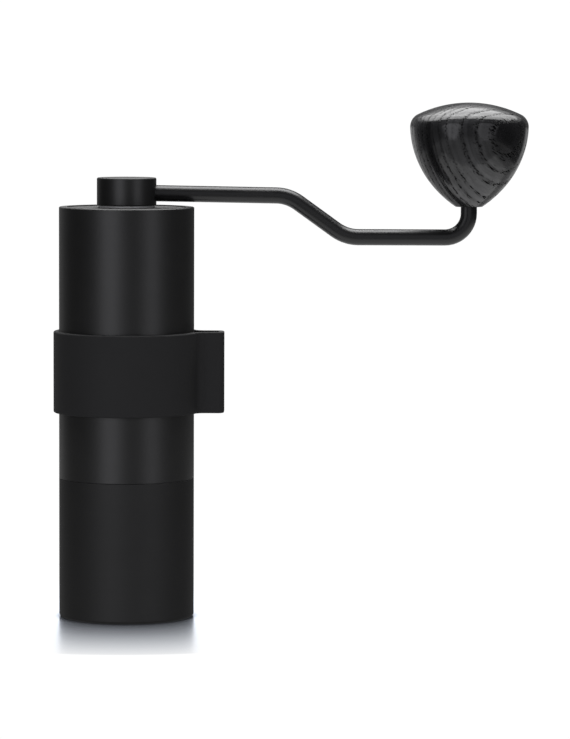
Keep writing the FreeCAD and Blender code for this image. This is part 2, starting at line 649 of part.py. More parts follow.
def adjusting_dial():
    outer_r = DIAL_D / 2
    recess_r = outer_r - DIAL_RECESS_WALL
    hub_r = THREAD_R + DIAL_RECESS_WALL
    dial = turned(
        (THREAD_R + RUNNING_FIT, DIAL_FOOT_Z), (hub_r, DIAL_FOOT_Z), (hub_r, DIAL_FOOT_Z + DIAL_RECESS),
        (recess_r, DIAL_FOOT_Z + DIAL_RECESS), (recess_r, DIAL_FOOT_Z),
        (outer_r - 2 * EDGE_BREAK, DIAL_FOOT_Z), (outer_r, DIAL_FOOT_Z + 2 * EDGE_BREAK),
        (outer_r, DIAL_FACE_Z - EDGE_BREAK),
        (outer_r - EDGE_BREAK, DIAL_FACE_Z), (DIAL_BOSS_D / 2, DIAL_FACE_Z), (DIAL_BOSS_D / 2, DIAL_TOP_Z),
        (THREAD_R + RUNNING_FIT, DIAL_TOP_Z))
    scallop = Part.makeCylinder(SCALLOP_R, DIAL_H, FreeCAD.Vector(
        outer_r + SCALLOP_R - SCALLOP_DEPTH, 0, DIAL_FOOT_Z))
    hole = Part.makeCylinder(DETENT_BALL_D / 2 + RUNNING_FIT, DETENT_HOLE_DEPTH, FreeCAD.Vector(
        DETENT_CIRCLE_D / 2, 0, DIAL_FACE_Z - DETENT_HOLE_DEPTH))
    return dial.cut(round_about(scallop, SCALLOP_COUNT) + round_about(hole, DETENT_COUNT, 90.0))


def detent_ball():
    return Part.makeSphere(DETENT_BALL_D / 2, FreeCAD.Vector(
        DETENT_CIRCLE_D / 2, 0, DIAL_TOP_Z - DETENT_BALL_D / 2))


def detent_spring():
    spring = coil((DETENT_BALL_D - DETENT_WIRE_D) / 2, DETENT_WIRE_D / 2,
                  DIAL_FACE_Z - DETENT_HOLE_DEPTH, DIAL_TOP_Z - DETENT_BALL_D, 4)
    spring.translate(FreeCAD.Vector(DETENT_CIRCLE_D / 2, 0, 0))
    return spring


# ---- Lid and crank hub ----

def lid_disc():
    outer_r = LID_BORE_R - LID_CLEARANCE
    return turned((NECK_R + RUNNING_FIT, LID_FOOT_Z), (outer_r, LID_FOOT_Z),
                  (outer_r, LID_TOP_Z - EDGE_BREAK), (outer_r - EDGE_BREAK, LID_TOP_Z),
                  (NECK_R + RUNNING_FIT, LID_TOP_Z))


def arm_direction():
    """Direction of the rod's first run, out of the hub."""
    return FreeCAD.Vector(ARM_FIRST_X, 0, -ARM_FALL).normalize()


def crank_hub():
    drum = turned(
        (0, NUT_FOOT_Z), (CORE_R, NUT_FOOT_Z), (CORE_R, NECK_FOOT_Z), (NECK_R, NECK_FOOT_Z),
        (NECK_R, DRUM_FOOT_Z), (HUB_D / 2 - EDGE_BREAK, DRUM_FOOT_Z), (HUB_D / 2, DRUM_FOOT_Z + EDGE_BREAK),
        (HUB_D / 2, DRUM_TOP_Z, HUB_EDGE_R), (0, DRUM_TOP_Z))
    socket = hexagon(SOCKET_AF, NUT_FOOT_Z, SOCKET_TOP_Z)
    grub_hole = ring(GRUB_D / 2 + SEATED_FIT, 0, SOCKET_TOP_Z, ARM_Z)
    start = FreeCAD.Vector(0, 0, ARM_Z) - arm_direction() * (ARM_DEPTH + LAND_GAP)
    bore = Part.makeCylinder(ARM_D / 2 + ARM_BORE_FIT, ARM_DEPTH + HUB_D, start, arm_direction())
    return drum.cut([socket, grub_hole, bore])


def lid_retainer():
    """Collar on the hub's core that holds the lid up against the neck."""
    return turned((CORE_R + SEATED_FIT, RETAINER_FOOT_Z), (RETAINER_D / 2 - EDGE_BREAK, RETAINER_FOOT_Z),
                  (RETAINER_D / 2, RETAINER_FOOT_Z + EDGE_BREAK), (RETAINER_D / 2, NECK_FOOT_Z - EDGE_BREAK),
                  (RETAINER_D / 2 - EDGE_BREAK, NECK_FOOT_Z), (CORE_R + SEATED_FIT, NECK_FOOT_Z))


def hub_nut():
    return turned((CORE_R + SEATED_FIT, NUT_FOOT_Z), (NUT_D / 2 - NUT_EDGE, NUT_FOOT_Z),
                  (NUT_D / 2, NUT_FOOT_Z + NUT_EDGE), (NUT_D / 2, NUT_TOP_Z - EDGE_BREAK),
                  (NUT_D / 2 - EDGE_BREAK, NUT_TOP_Z), (NUT_D / 2 - NUT_STEP, NUT_TOP_Z),
                  (NUT_D / 2 - NUT_STEP, RETAINER_FOOT_Z), (CORE_R + SEATED_FIT, RETAINER_FOOT_Z))


def arm_grub_screw():
    top = ARM_Z - ARM_D / 2 - SEATED_FIT
    screw = ring(GRUB_D / 2, 0, SOCKET_TOP_Z, top)
    return screw.cut(hexagon(GRUB_SOCKET_AF, SOCKET_TOP_Z, SOCKET_TOP_Z + GRUB_SOCKET_DEPTH))


# ---- Crank arm ----

def crank_arm():
    """Bent rod with a turned spindle for the knob."""
    shaft_point = FreeCAD.Vector(0, 0, ARM_Z)
    route = [
        shaft_point - arm_direction() * ARM_DEPTH,
        FreeCAD.Vector(ARM_FIRST_X, 0, ARM_Z - ARM_FALL),
        FreeCAD.Vector(ARM_SECOND_X, 0, ARM_LOW_Z),
        FreeCAD.Vector(CRANK_R, 0, ARM_LOW_Z),
        FreeCAD.Vector(CRANK_R, 0, SHOULDER_Z)]
    path = Part.Wire(rounded_edges(route, [0, ARM_BEND_R, ARM_BEND_R, ARM_ELBOW_R, 0], False))
    section = Part.Wire(Part.makeCircle(ARM_D / 2, route[0], arm_direction()))
    rod = path.makePipeShell([section], True, True)
    spindle = turned((0, SHOULDER_Z - ARM_D), (SPINDLE_D / 2, SHOULDER_Z - ARM_D),
                     (SPINDLE_D / 2, SPINDLE_TOP_Z - EDGE_BREAK),
                     (SPINDLE_D / 2 - EDGE_BREAK, SPINDLE_TOP_Z), (0, SPINDLE_TOP_Z))
    spindle = spindle.cut(snap_groove(SPINDLE_D / 2 - SNAP_WIRE_D / 2, SPINDLE_D / 2 + EDGE_BREAK,
                                      BUSH_TOP_Z + LAND_GAP))
    spindle.translate(FreeCAD.Vector(CRANK_R, 0, 0))
    return rod.fuse(spindle).removeSplitter()


def at_knob(shape):
    """Move a shape from the shaft's axis to the knob's axis."""
    shape.translate(FreeCAD.Vector(CRANK_R, 0, 0))
    return shape


def knob_snap_ring():
    return at_knob(snap_ring(SPINDLE_D / 2 - SNAP_WIRE_D / 2, BUSH_TOP_Z + LAND_GAP))


def knob_washer():
    return at_knob(ring(BUSH_D / 2 - 2 * RUNNING_FIT, SPINDLE_D / 2 + RUNNING_FIT,
                        SHOULDER_Z + LAND_GAP, SHOULDER_Z + LAND_GAP + WASHER_T))


# ---- Knob ----

def knob_body():
    """Turned knob: a flaring side that ends upright, a rounded rim and a shallow dome."""
    foot_r = KNOB_FOOT_D / 2
    belly_r = KNOB_D / 2
    dome_z = KNOB_FOOT_Z + KNOB_H - KNOB_DOME_R
    rim_x = belly_r - KNOB_RIM_R
    rim_rise = math.sqrt((KNOB_DOME_R - KNOB_RIM_R) ** 2 - rim_x ** 2)
    rim_centre = FreeCAD.Vector(rim_x, 0, dome_z + rim_rise)
    dome_angle = math.atan2(rim_rise, rim_x)
    foot = FreeCAD.Vector(foot_r, 0, KNOB_FOOT_Z)
    belly = FreeCAD.Vector(belly_r, 0, rim_centre.z)
    flare = math.radians(KNOB_FLARE)
    side = Part.BezierCurve()
    side.setPoles([
        foot,
        foot + FreeCAD.Vector(math.sin(flare), 0, math.cos(flare)) * KNOB_FLARE_REACH,
        belly - UP * KNOB_SIDE_REACH,
        belly])
    on_rim = [rim_centre + FreeCAD.Vector(math.cos(angle), 0, math.sin(angle)) * KNOB_RIM_R
              for angle in (dome_angle / 2, dome_angle)]
    on_dome = [FreeCAD.Vector(math.cos(angle), 0, math.sin(angle)) * KNOB_DOME_R + UP * dome_z
               for angle in ((dome_angle + math.pi / 2) / 2, math.pi / 2)]
    axis_foot = FreeCAD.Vector(0, 0, KNOB_FOOT_Z)
    outline = Part.Wire([
        Part.LineSegment(axis_foot, foot).toShape(),
        side.toShape(),
        Part.Arc(belly, on_rim[0], on_rim[1]).toShape(),
        Part.Arc(on_rim[1], on_dome[0], on_dome[1]).toShape(),
        Part.LineSegment(on_dome[1], axis_foot).toShape()])
    body = Part.Face(outline).revolve(ORIGIN, UP, 360)
    hole = ring(BUSH_D / 2 + SEATED_FIT, 0, KNOB_FOOT_Z, SPINDLE_TOP_Z + CAVITY_ROOM)
    return at_knob(body.cut(hole))


def knob_bush():
    return at_knob(ring(BUSH_D / 2, SPINDLE_D / 2 + RUNNING_FIT, BUSH_FOOT_Z, BUSH_TOP_Z))


# ---- Band ----

def mirrored(point):
    return FreeCAD.Vector(point.x, -point.y, point.z)


def sleeve(body_r, half, end, corner_r, bend_r):
    """Solid around the body with a straight pocket out along +X, joined to it by hollow bends."""
    bend_x = math.sqrt((body_r + bend_r) ** 2 - (half + bend_r) ** 2)
    bend = FreeCAD.Vector(bend_x, half + bend_r, BAND_Z)
    leave = polar(body_r, math.degrees(math.atan2(bend.y, bend.x)), BAND_Z)
    flat = FreeCAD.Vector(bend_x, half, BAND_Z)
    bend_middle = bend + (leave + flat - bend * 2).normalize() * bend_r
    corner_start = FreeCAD.Vector(end - corner_r, half, BAND_Z)
    corner_end = FreeCAD.Vector(end, half - corner_r, BAND_Z)
    corner = FreeCAD.Vector(end - corner_r, half - corner_r, BAND_Z)
    corner_middle = corner + FreeCAD.Vector(1, 1, 0).normalize() * corner_r
    arcs = [(leave, bend_middle, flat), (corner_start, corner_middle, corner_end)]
    there = [
        Part.Arc(*arcs[0]).toShape(), Part.LineSegment(flat, corner_start).toShape(),
        Part.Arc(*arcs[1]).toShape(), Part.LineSegment(corner_end, mirrored(corner_end)).toShape()]
    back = [
        Part.Arc(*[mirrored(point) for point in reversed(arcs[1])]).toShape(),
        Part.LineSegment(mirrored(corner_start), mirrored(flat)).toShape(),
        Part.Arc(*[mirrored(point) for point in reversed(arcs[0])]).toShape(),
        Part.Arc(mirrored(leave), polar(body_r, 180, BAND_Z), leave).toShape()]
    return Part.Face(Part.Wire(there + back)).extrude(UP * BAND_H)


def storage_band():
    """Stretched sleeve with a pocket that the crank arm slides into."""
    inner_r = BODY_R + BAND_FIT
    end = POCKET_X + POCKET_R
    outer = sleeve(inner_r + BAND_WALL, POCKET_R + BAND_WALL, end + BAND_WALL,
                   POCKET_CORNER_R + BAND_WALL, POCKET_BEND_R)
    outer = outer.makeFillet(BAND_EDGE_R, [
        edge for edge in outer.Edges if edge.BoundBox.ZLength < BAND_EDGE_R])
    return outer.cut(sleeve(inner_r, POCKET_R, end, POCKET_CORNER_R, POCKET_BEND_R + BAND_WALL))


# ---- All pieces, by the name of their file ----

def numbered(name, shapes):
    return {f"{name}_{index}": shape for index, shape in enumerate(shapes, 1)}


def bearing(name, foot):
    return {
        f"{name}_outer_race": outer_race(foot),
        f"{name}_inner_race": inner_race(foot),
        f"{name}_balls": balls(foot),
        f"{name}_ball_cage": ball_cage(foot),
        f"{name}_bearing_shields": bearing_shields(foot)}


def all_pieces():
    pieces = {
        "catch_cup": catch_cup(),
        "body_tube": body_tube(),
        "storage_band": storage_band(),
        "lower_bracket": lower_bracket(),
        "upper_bracket": upper_bracket(),
        "bracket_clip": bracket_clip(),
        "ring_burr": ring_burr(),
        "inner_burr": inner_burr(),
        "drive_shaft": drive_shaft(),
        "shaft_snap_ring": shaft_snap_ring(),
        "spring_seat": spring_seat(),
        "burr_spring": burr_spring(),
        "adjusting_dial": adjusting_dial(),
        "lid_disc": lid_disc(),
        "crank_hub": crank_hub(),
        "lid_retainer": lid_retainer(),
        "hub_nut": hub_nut(),
        "arm_grub_screw": arm_grub_screw(),
        "crank_arm": crank_arm(),
        "knob_snap_ring": knob_snap_ring(),
        "knob_washer": knob_washer(),
        "knob_body": knob_body(),
        "knob_bush": knob_bush()}
    pieces.update(numbered("cup_magnet", magnets(JOINT_Z - MAGNET_SINK - MAGNET_H)))
    pieces.update(numbered("body_magnet", magnets(JOINT_Z + MAGNET_SINK)))
    pieces.update(numbered("bracket_screw", round_about(bracket_screw(), SPOKE_COUNT, SPOKE_ANGLE)))
    pieces.update(numbered("detent_ball", round_about(detent_ball(), DETENT_COUNT, 90.0)))
    pieces.update(numbered("detent_spring", round_about(detent_spring(), DETENT_COUNT, 90.0)))
    pieces.update(bearing("lower", LOWER_BEARING_Z))
    pieces.update(bearing("upper", UPPER_BEARING_Z))
    return pieces


os.makedirs("parts", exist_ok=True)
for piece_name, piece in all_pieces().items():
    piece.exportStep(f"parts/{piece_name}.step")
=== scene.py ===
"""Looks of the hand crank coffee grinder: materials, fine detail, light, floor and camera.

Lengths are in metres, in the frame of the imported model: the origin is the centre of the cup's
foot, +Z runs up the shaft and +X along the crank arm.
"""
import json
import math
import bmesh
import bpy
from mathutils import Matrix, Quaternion, Vector, noise


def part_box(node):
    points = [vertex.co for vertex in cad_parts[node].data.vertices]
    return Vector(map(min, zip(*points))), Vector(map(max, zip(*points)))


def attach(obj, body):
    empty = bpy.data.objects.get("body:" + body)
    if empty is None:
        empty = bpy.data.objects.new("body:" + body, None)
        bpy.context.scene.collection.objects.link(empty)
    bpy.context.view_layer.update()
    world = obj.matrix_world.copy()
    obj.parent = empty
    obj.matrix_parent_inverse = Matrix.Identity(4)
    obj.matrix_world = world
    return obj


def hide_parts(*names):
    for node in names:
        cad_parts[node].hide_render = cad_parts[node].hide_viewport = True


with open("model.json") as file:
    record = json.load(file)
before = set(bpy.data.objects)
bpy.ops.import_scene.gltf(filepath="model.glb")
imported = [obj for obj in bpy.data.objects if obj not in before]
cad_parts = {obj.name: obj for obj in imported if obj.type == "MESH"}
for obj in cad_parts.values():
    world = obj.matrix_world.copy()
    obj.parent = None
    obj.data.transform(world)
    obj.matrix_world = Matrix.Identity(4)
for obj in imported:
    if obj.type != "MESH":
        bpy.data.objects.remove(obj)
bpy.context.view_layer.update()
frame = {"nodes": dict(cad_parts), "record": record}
NODES = frame["nodes"]
MM = 0.001

# ---- Places read from the frame ----
CUP_LOW, CUP_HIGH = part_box("catch_cup")
KNOB_LOW, KNOB_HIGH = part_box("knob_body")
BUSH_LOW, BUSH_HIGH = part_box("knob_bush")
LID_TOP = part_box("lid_disc")[1].z
BODY_R = (CUP_HIGH.x - CUP_LOW.x) / 2
BUSH_R = (BUSH_HIGH.x - BUSH_LOW.x) / 2
KNOB_X = (KNOB_LOW.x + KNOB_HIGH.x) / 2
KNOB_R = (KNOB_HIGH.x - KNOB_LOW.x) / 2
KNOB_Z = KNOB_LOW.z
KNOB_H = KNOB_HIGH.z - KNOB_LOW.z

# ---- Wood of the knob ----
GRAIN = Vector((0.65, 0.60, -0.47)).normalized()   # direction in which the tree grew
PITH = Vector((0.2255, -0.0120, 0.1384))           # a point on the middle of its rings
FIRST_RING_R = 52.4 * MM                           # radius of the first ring that the knob shows
FIRST_YEAR = 10                                    # and its number in the count of years
YEAR_WIDTHS = [width * MM for width in (3.2, 3.1, 3.6, 5.2, 2.9, 3.0, 2.4, 3.1, 2.5)]
RING_WAVER = ((0.5 * MM, 70), (0.22 * MM, 260))    # how far rings waver, and waves per metre
RING_RELIEF = 0.015 * MM                           # how deep the soft early wood is worn back
EARLY_FULL = 0.1                                   # share of a year until early wood is at its fullest
EARLY_END = 0.5                                    # and until it has ended
LAST_YEAR = 20                                     # end of the scale of pale wood
PALE_WOOD = ((10.4, 0.10), (11.3, 0.45), (12.6, 1.0), (16.4, 1.0),
             (16.7, 0.2), (17.3, 0.2), (17.7, 0.8))   # year, and how pale its wood is

# ---- Roughness of the anodised pieces ----
TUBE_DULLNESS = 0.435
CUP_DULLNESS = 0.60


# ---- Shader helpers ----

class Shader:
    """Node tree of one material, with short calls to add and join nodes."""

    def __init__(self, name):
        self.material = bpy.data.materials.new(name)
        self.material.use_nodes = True
        self.tree = self.material.node_tree
        self.tree.nodes.clear()
        self.output = self.add("ShaderNodeOutputMaterial")

    def add(self, kind, **settings):
        node = self.tree.nodes.new(kind)
        for key, value in settings.items():
            setattr(node, key, value)
        return node

    def join(self, source, node, socket):
        """Link a node's first output, or a given output, to a socket."""
        output = source if isinstance(source, bpy.types.NodeSocket) else source.outputs[0]
        self.tree.links.new(output, node.inputs[socket])

    def surface(self, **values):
        """Principled shader with values set on its own sockets."""
        node = self.add("ShaderNodeBsdfPrincipled")
        for key, value in values.items():
            node.inputs[key.replace("_", " ")].default_value = value
        self.join(node, self.output, "Surface")
        return node

    def finish(self, surface, colour, relief, depth, rough=None):
        """Give a surface its colour, a relief of some depth and, where it varies, its roughness."""
        self.join(colour, surface, "Base Color")
        if rough is not None:
            self.join(rough, surface, "Roughness")
        bump = self.add("ShaderNodeBump")
        bump.inputs["Distance"].default_value = depth
        bump.inputs["Strength"].default_value = 1.0
        self.join(relief, bump, "Height")
        self.join(bump, surface, "Normal")

    def coordinates(self, scale=(1, 1, 1)):
        """Object coordinates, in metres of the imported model's frame, times a scale."""
        place = self.add("ShaderNodeTexCoord")
        mapping = self.add("ShaderNodeMapping")
        mapping.inputs["Scale"].default_value = scale
        self.join(place.outputs["Object"], mapping, "Vector")
        return mapping

    def along_grain(self, across, along):
        """Object coordinates turned to the wood's grain, counted in cells across and along it."""
        place = self.add("ShaderNodeTexCoord")
        mapping = self.add("ShaderNodeMapping", vector_type="TEXTURE")
        mapping.inputs["Rotation"].default_value = GRAIN.to_track_quat("Y", "Z").to_euler()
        mapping.inputs["Scale"].default_value = (across, along, across)
        self.join(place.outputs["Object"], mapping, "Vector")
        return mapping

    def noise(self, vector, scale, detail=2.0, roughness=0.5):
        node = self.add("ShaderNodeTexNoise")
        node.inputs["Scale"].default_value = scale
        node.inputs["Detail"].default_value = detail
        node.inputs["Roughness"].default_value = roughness
        self.join(vector, node, "Vector")
        return node

    def math(self, operation, first, second=None, third=None, clamp=False):
        """Math node. Each operand is a number, a node or a socket."""
        node = self.add("ShaderNodeMath", operation=operation, use_clamp=clamp)
        for index, value in enumerate((first, second, third)):
            if value is None:
                continue
            if isinstance(value, (int, float)):
                node.inputs[index].default_value = value
            else:
                self.join(value, node, index)
        return node

    def ramp(self, factor, stops):
        """Colour ramp. Each stop is (position, colour), a colour being one number or three."""
        node = self.add("ShaderNodeValToRGB")
        elements = node.color_ramp.elements
        while len(elements) < len(stops):
            elements.new(0.5)
        for element, (position, colour) in zip(elements, stops):
            element.position = position
            rgb = (colour,) * 3 if isinstance(colour, (int, float)) else tuple(colour)
            element.color = rgb + (1.0,)
        self.join(factor, node, "Fac")
        return node

    def blend(self, factor, first, second, kind="MIX"):
        """Mix or multiply two colours, each a node, a socket or three numbers."""
        node = self.add("ShaderNodeMix", data_type="RGBA", blend_type=kind)
        if isinstance(factor, float):
            node.inputs["Factor"].default_value = factor
        else:
            self.join(factor, node, "Factor")
        for socket, colour in ((6, first), (7, second)):
            if isinstance(colour, tuple):
                node.inputs[socket].default_value = colour + (1.0,)
            else:
                self.join(colour, node, socket)
        return node.outputs[2]


# ---- Materials ----
# Noise scales are waves per metre. Turned and ground lines have more of them in one direction.

def anodised(name, dull):
    """Matte black anodised aluminium with fine lines from turning around Z."""
    shader = Shader(name)
    surface = shader.surface(Metallic=0.0, IOR=1.5)
    turned = shader.noise(shader.coordinates((6, 6, 5200)), 1.0, detail=3.0, roughness=0.6)
    cloud = shader.noise(shader.coordinates(), 90.0, detail=3.0)
    colour = shader.ramp(cloud, [(0.3, (0.0066, 0.0066, 0.0067)), (0.7, (0.0086, 0.0086, 0.0087))])
    rough = shader.ramp(turned, [(0.3, dull - 0.035), (0.7, dull + 0.035)])
    shader.finish(surface, colour, turned, 0.004 * MM, rough)
    return shader.material


def coated_rod():
    """Satin black coating on the bent rod."""
    shader = Shader("coated_rod")
    surface = shader.surface(Metallic=0.0, IOR=1.5)
    grain = shader.noise(shader.coordinates(), 2600.0, detail=3.0, roughness=0.6)
    cloud = shader.noise(shader.coordinates(), 160.0)
    colour = shader.ramp(cloud, [(0.3, (0.008, 0.008, 0.009)), (0.7, (0.0105, 0.0105, 0.0115))])
    rough = shader.ramp(cloud, [(0.3, 0.30), (0.7, 0.36)])
    shader.finish(surface, colour, grain, 0.001 * MM, rough)
    return shader.material


def silicone():
    """Dull moulded silicone."""
    shader = Shader("silicone")
    surface = shader.surface(Metallic=0.0, IOR=1.42)
    grain = shader.noise(shader.coordinates(), 1800.0, detail=4.0, roughness=0.65)
    cloud = shader.noise(shader.coordinates(), 55.0, detail=3.0)
    colour = shader.ramp(cloud, [(0.3, (0.0115, 0.0115, 0.0121)), (0.7, (0.0138, 0.0138, 0.0145))])
    rough = shader.ramp(cloud, [(0.3, 0.70), (0.7, 0.78)])
    shader.finish(surface, colour, grain, 0.010 * MM, rough)
    return shader.material


def metal(name, colour, roughness, line_scale, line_depth):
    """Bare metal with fine machining lines and a slight variation of tone."""
    shader = Shader(name)
    surface = shader.surface(Metallic=1.0)
    lines = shader.noise(shader.coordinates(line_scale), 1.0, detail=3.0, roughness=0.6)
    cloud = shader.noise(shader.coordinates(), 300.0, detail=3.0)
    tone = shader.ramp(cloud, [(0.3, tuple(0.9 * channel for channel in colour)), (0.7, colour)])
    rough = shader.ramp(lines, [(0.3, 0.85 * roughness), (0.7, 1.15 * roughness)])
    shader.finish(surface, tone, lines, line_depth, rough)
    return shader.material


def nylon():
    """Natural nylon."""
    shader = Shader("nylon")
    surface = shader.surface(Metallic=0.0, IOR=1.53, Roughness=0.45, Subsurface_Weight=0.1)
    grain = shader.noise(shader.coordinates(), 900.0, detail=3.0)
    colour = shader.ramp(grain, [(0.3, (0.62, 0.60, 0.54)), (0.7, (0.70, 0.68, 0.62))])
    shader.finish(surface, colour, grain, 0.01 * MM)
    return shader.material


def washer_grey():
    """Dark grey nylon of the washer under the hub."""
    shader = Shader("washer_grey")
    surface = shader.surface(Metallic=0.0, IOR=1.5, Roughness=0.35)
    grain = shader.noise(shader.coordinates(), 900.0, detail=3.0)
    shader.finish(surface, shader.ramp(grain, [(0.3, 0.36), (0.7, 0.44)]), grain, 0.005 * MM)
    return shader.material


def stained_wood():
    """Black stained open-pore ash. Its pores are short dark dashes in the early part of each ring."""
    shader = Shader("stained_wood")
    surface = shader.surface(Metallic=0.0, IOR=1.5)
    growth = shader.add("ShaderNodeAttribute", attribute_name="growth").outputs["Fac"]
    early = shader.ramp(shader.math("FRACT", growth), [
        (0.0, 0.5), (0.07, 1.0), (0.22, 0.7), (0.48, 0.15), (0.88, 0.0), (1.0, 0.5)])

    # Pores and fibres.
    fleck = shader.noise(shader.along_grain(0.38 * MM, 4.5 * MM), 1.0)
    dense = shader.math("MULTIPLY_ADD", early, 0.22, fleck)
    pores = shader.ramp(dense, [(0.70, 0.0), (0.76, 1.0)])
    fibre = shader.noise(shader.along_grain(0.42 * MM, 12 * MM), 1.0, detail=3.0, roughness=0.6)

    # Thin lines that follow the rings, and wander a little.
    layers = shader.add("ShaderNodeCombineXYZ")
    shader.join(shader.math("MULTIPLY", growth, 3.4), layers, "X")
    wander = shader.noise(shader.coordinates(), 60.0, detail=1.0)
    shader.join(shader.math("MULTIPLY", wander, 2.5), layers, "Y")
    line = shader.ramp(shader.noise(layers, 1.0, detail=3.0, roughness=0.65), [(0.36, 0.0), (0.62, 1.0)])

    # Paler and darker wood.
    patch = shader.noise(shader.coordinates(), 75.0)
    years = shader.math("MULTIPLY", growth, 1 / LAST_YEAR)
    pale = shader.ramp(years, [(year / LAST_YEAR, share) for year, share in PALE_WOOD])
    light = shader.math("MULTIPLY", pale, shader.ramp(patch, [(0.36, 0.30), (0.62, 1.0)]))
    light = shader.math("MULTIPLY", light, shader.math("MULTIPLY_ADD", line, 0.45, 0.55))
    late_tone = shader.blend(light, (0.0060, 0.0060, 0.0064), (0.0480, 0.0480, 0.0504))
    tone = shader.blend(shader.math("MULTIPLY", early, 0.35), late_tone, (0.0060, 0.0060, 0.0063))
    colour = shader.blend(pores, tone, (0.0020, 0.0020, 0.0020))

    # Gloss, which the pores break.
    rough = shader.math("MULTIPLY_ADD", early, 0.05, shader.ramp(fibre, [(0.3, 0.09), (0.7, 0.15)]))
    rough = shader.math("MULTIPLY_ADD", pores, 0.45, rough)
    gloss = shader.math("MULTIPLY_ADD", early, -0.10, shader.ramp(fibre, [(0.32, 0.30), (0.66, 0.42)]))
    gloss = shader.math("MULTIPLY_ADD", line, 0.08, gloss)
    gloss = shader.math("MULTIPLY_ADD", pores, -0.40, gloss, clamp=True)
    shader.join(gloss, surface, "Specular IOR Level")
    height = shader.math("MULTIPLY_ADD", fibre, 0.5, shader.math("MULTIPLY", pores, -1.0))
    shader.finish(surface, colour, height, 0.03 * MM, rough)
    return shader.material


MATERIALS = {
    "black_anodised": anodised("black_anodised", TUBE_DULLNESS),
    "coated_rod": coated_rod(),
    "silicone": silicone(),
    "stained_wood": stained_wood(),
    "burr_steel": metal("burr_steel", (0.42, 0.42, 0.44), 0.30, (900, 900, 900), 0.006 * MM),
    "shaft_steel": metal("shaft_steel", (0.66, 0.66, 0.68), 0.22, (20, 20, 4000), 0.003 * MM),
    "bearing_steel": metal("bearing_steel", (0.70, 0.70, 0.72), 0.14, (60, 60, 2500), 0.001 * MM),
    "spring_steel": metal("spring_steel", (0.34, 0.34, 0.36), 0.32, (700, 700, 700), 0.003 * MM),
    "bare_aluminium": metal("bare_aluminium", (0.62, 0.62, 0.64), 0.34, (900, 900, 1600), 0.004 * MM),
    "magnet_nickel": metal("magnet_nickel", (0.66, 0.64, 0.60), 0.20, (900, 900, 900), 0.002 * MM),
    "nylon": nylon(),
}


def dress_cad_nodes():
    """Give every CAD node the material of its slot. The cup's is a little duller than the tube's."""
    slots = {part["node"]: part["material_slot"] for part in frame["record"]["subparts"]}
    for name, piece in NODES.items():
        piece.data.materials.clear()
        piece.data.materials.append(MATERIALS[slots[name]])
    NODES["catch_cup"].data.materials[0] = anodised("black_anodised_cup", CUP_DULLNESS)


dress_cad_nodes()


# ---- Mesh helpers ----

def circle(bm, radius, height, segments, centre_x=0.0):
    """Ring of vertices around an upright axis."""
    vertices = []
    for segment in range(segments):
        angle = 2 * math.pi * segment / segments
        place = (centre_x + radius * math.cos(angle), radius * math.sin(angle), height)
        vertices.append(bm.verts.new(place))
    return vertices


def bridge(bm, ring, following):
    """Faces from one ring of vertices to the next, facing out where the next one is above it."""
    for here in range(len(ring)):
        after = (here + 1) % len(ring)
        bm.faces.new((ring[here], ring[after], following[after], following[here]))


def piece_from(bm, name, material):
    """Object in the scene with the finished mesh and one material."""
    mesh = bpy.data.meshes.new(name)
    bm.to_mesh(mesh)
    bm.free()
    mesh.materials.append(material)
    piece = bpy.data.objects.new(name, mesh)
    bpy.context.scene.collection.objects.link(piece)
    return piece


# ---- Knob ----
# The outline repeats the sizes of the solid knob.
FOOT_R = 4.95 * MM
FLARE = math.radians(55.7)       # how far the side leans out at the foot
FLARE_REACH = 18.6 * MM          # pull of the side's curve at the foot
SIDE_REACH = 4.5 * MM            # and at the rim
RIM_R = 5.1 * MM
DOME_R = 43.6 * MM
SIDE_STEPS = 130
RIM_STEPS = 30
DOME_STEPS = 90
KNOB_SEGMENTS = 360
BUSH_HOLE_DEPTH = 3 * MM
KNOB_CORE = Vector((KNOB_X, 0, KNOB_Z + 0.7 * KNOB_H))   # the relief is cut towards this point


def knob_outline():
    """Radius and height along the knob's skin, from the foot to the top of the dome."""
    dome_z = KNOB_Z + KNOB_H - DOME_R
    rim_x = KNOB_R - RIM_R
    rim_z = dome_z + math.sqrt((DOME_R - RIM_R) ** 2 - rim_x ** 2)
    turn = math.atan2(rim_z - dome_z, rim_x)
    poles = [Vector((FOOT_R, KNOB_Z)),
             Vector((FOOT_R + math.sin(FLARE) * FLARE_REACH, KNOB_Z + math.cos(FLARE) * FLARE_REACH)),
             Vector((KNOB_R, rim_z - SIDE_REACH)),
             Vector((KNOB_R, rim_z))]
    points = []
    for step in range(SIDE_STEPS):
        t = step / SIDE_STEPS
        weights = ((1 - t) ** 3, 3 * t * (1 - t) ** 2, 3 * t * t * (1 - t), t ** 3)
        points.append(sum((pole * weight for pole, weight in zip(poles, weights)), Vector((0, 0))))
    for step in range(RIM_STEPS):
        angle = turn * step / RIM_STEPS
        points.append(Vector((rim_x + RIM_R * math.cos(angle), rim_z + RIM_R * math.sin(angle))))
    for step in range(DOME_STEPS):
        angle = turn + (math.pi / 2 - turn) * step / DOME_STEPS
        points.append(Vector((DOME_R * math.cos(angle), dome_z + DOME_R * math.sin(angle))))
    return points


def ring_count(point):
    """Years of growth at a point of the knob."""
    offset = point - PITH
    across = offset - GRAIN * offset.dot(GRAIN)
    waver = sum(size * noise.noise(point * waves) for size, waves in RING_WAVER)
    left = across.length + waver - FIRST_RING_R
    years = FIRST_YEAR
    for width in YEAR_WIDTHS:
        if left < width:
            break
        left -= width
        years += 1
    return years + left / width


def early_wood(years):
    """Rises from 0 to 1 soon after a ring starts to grow, and falls back to 0 over its first half."""
    part = years % 1.0
    return min(part / EARLY_FULL, max(0.0, (EARLY_END - part) / (EARLY_END - EARLY_FULL)))


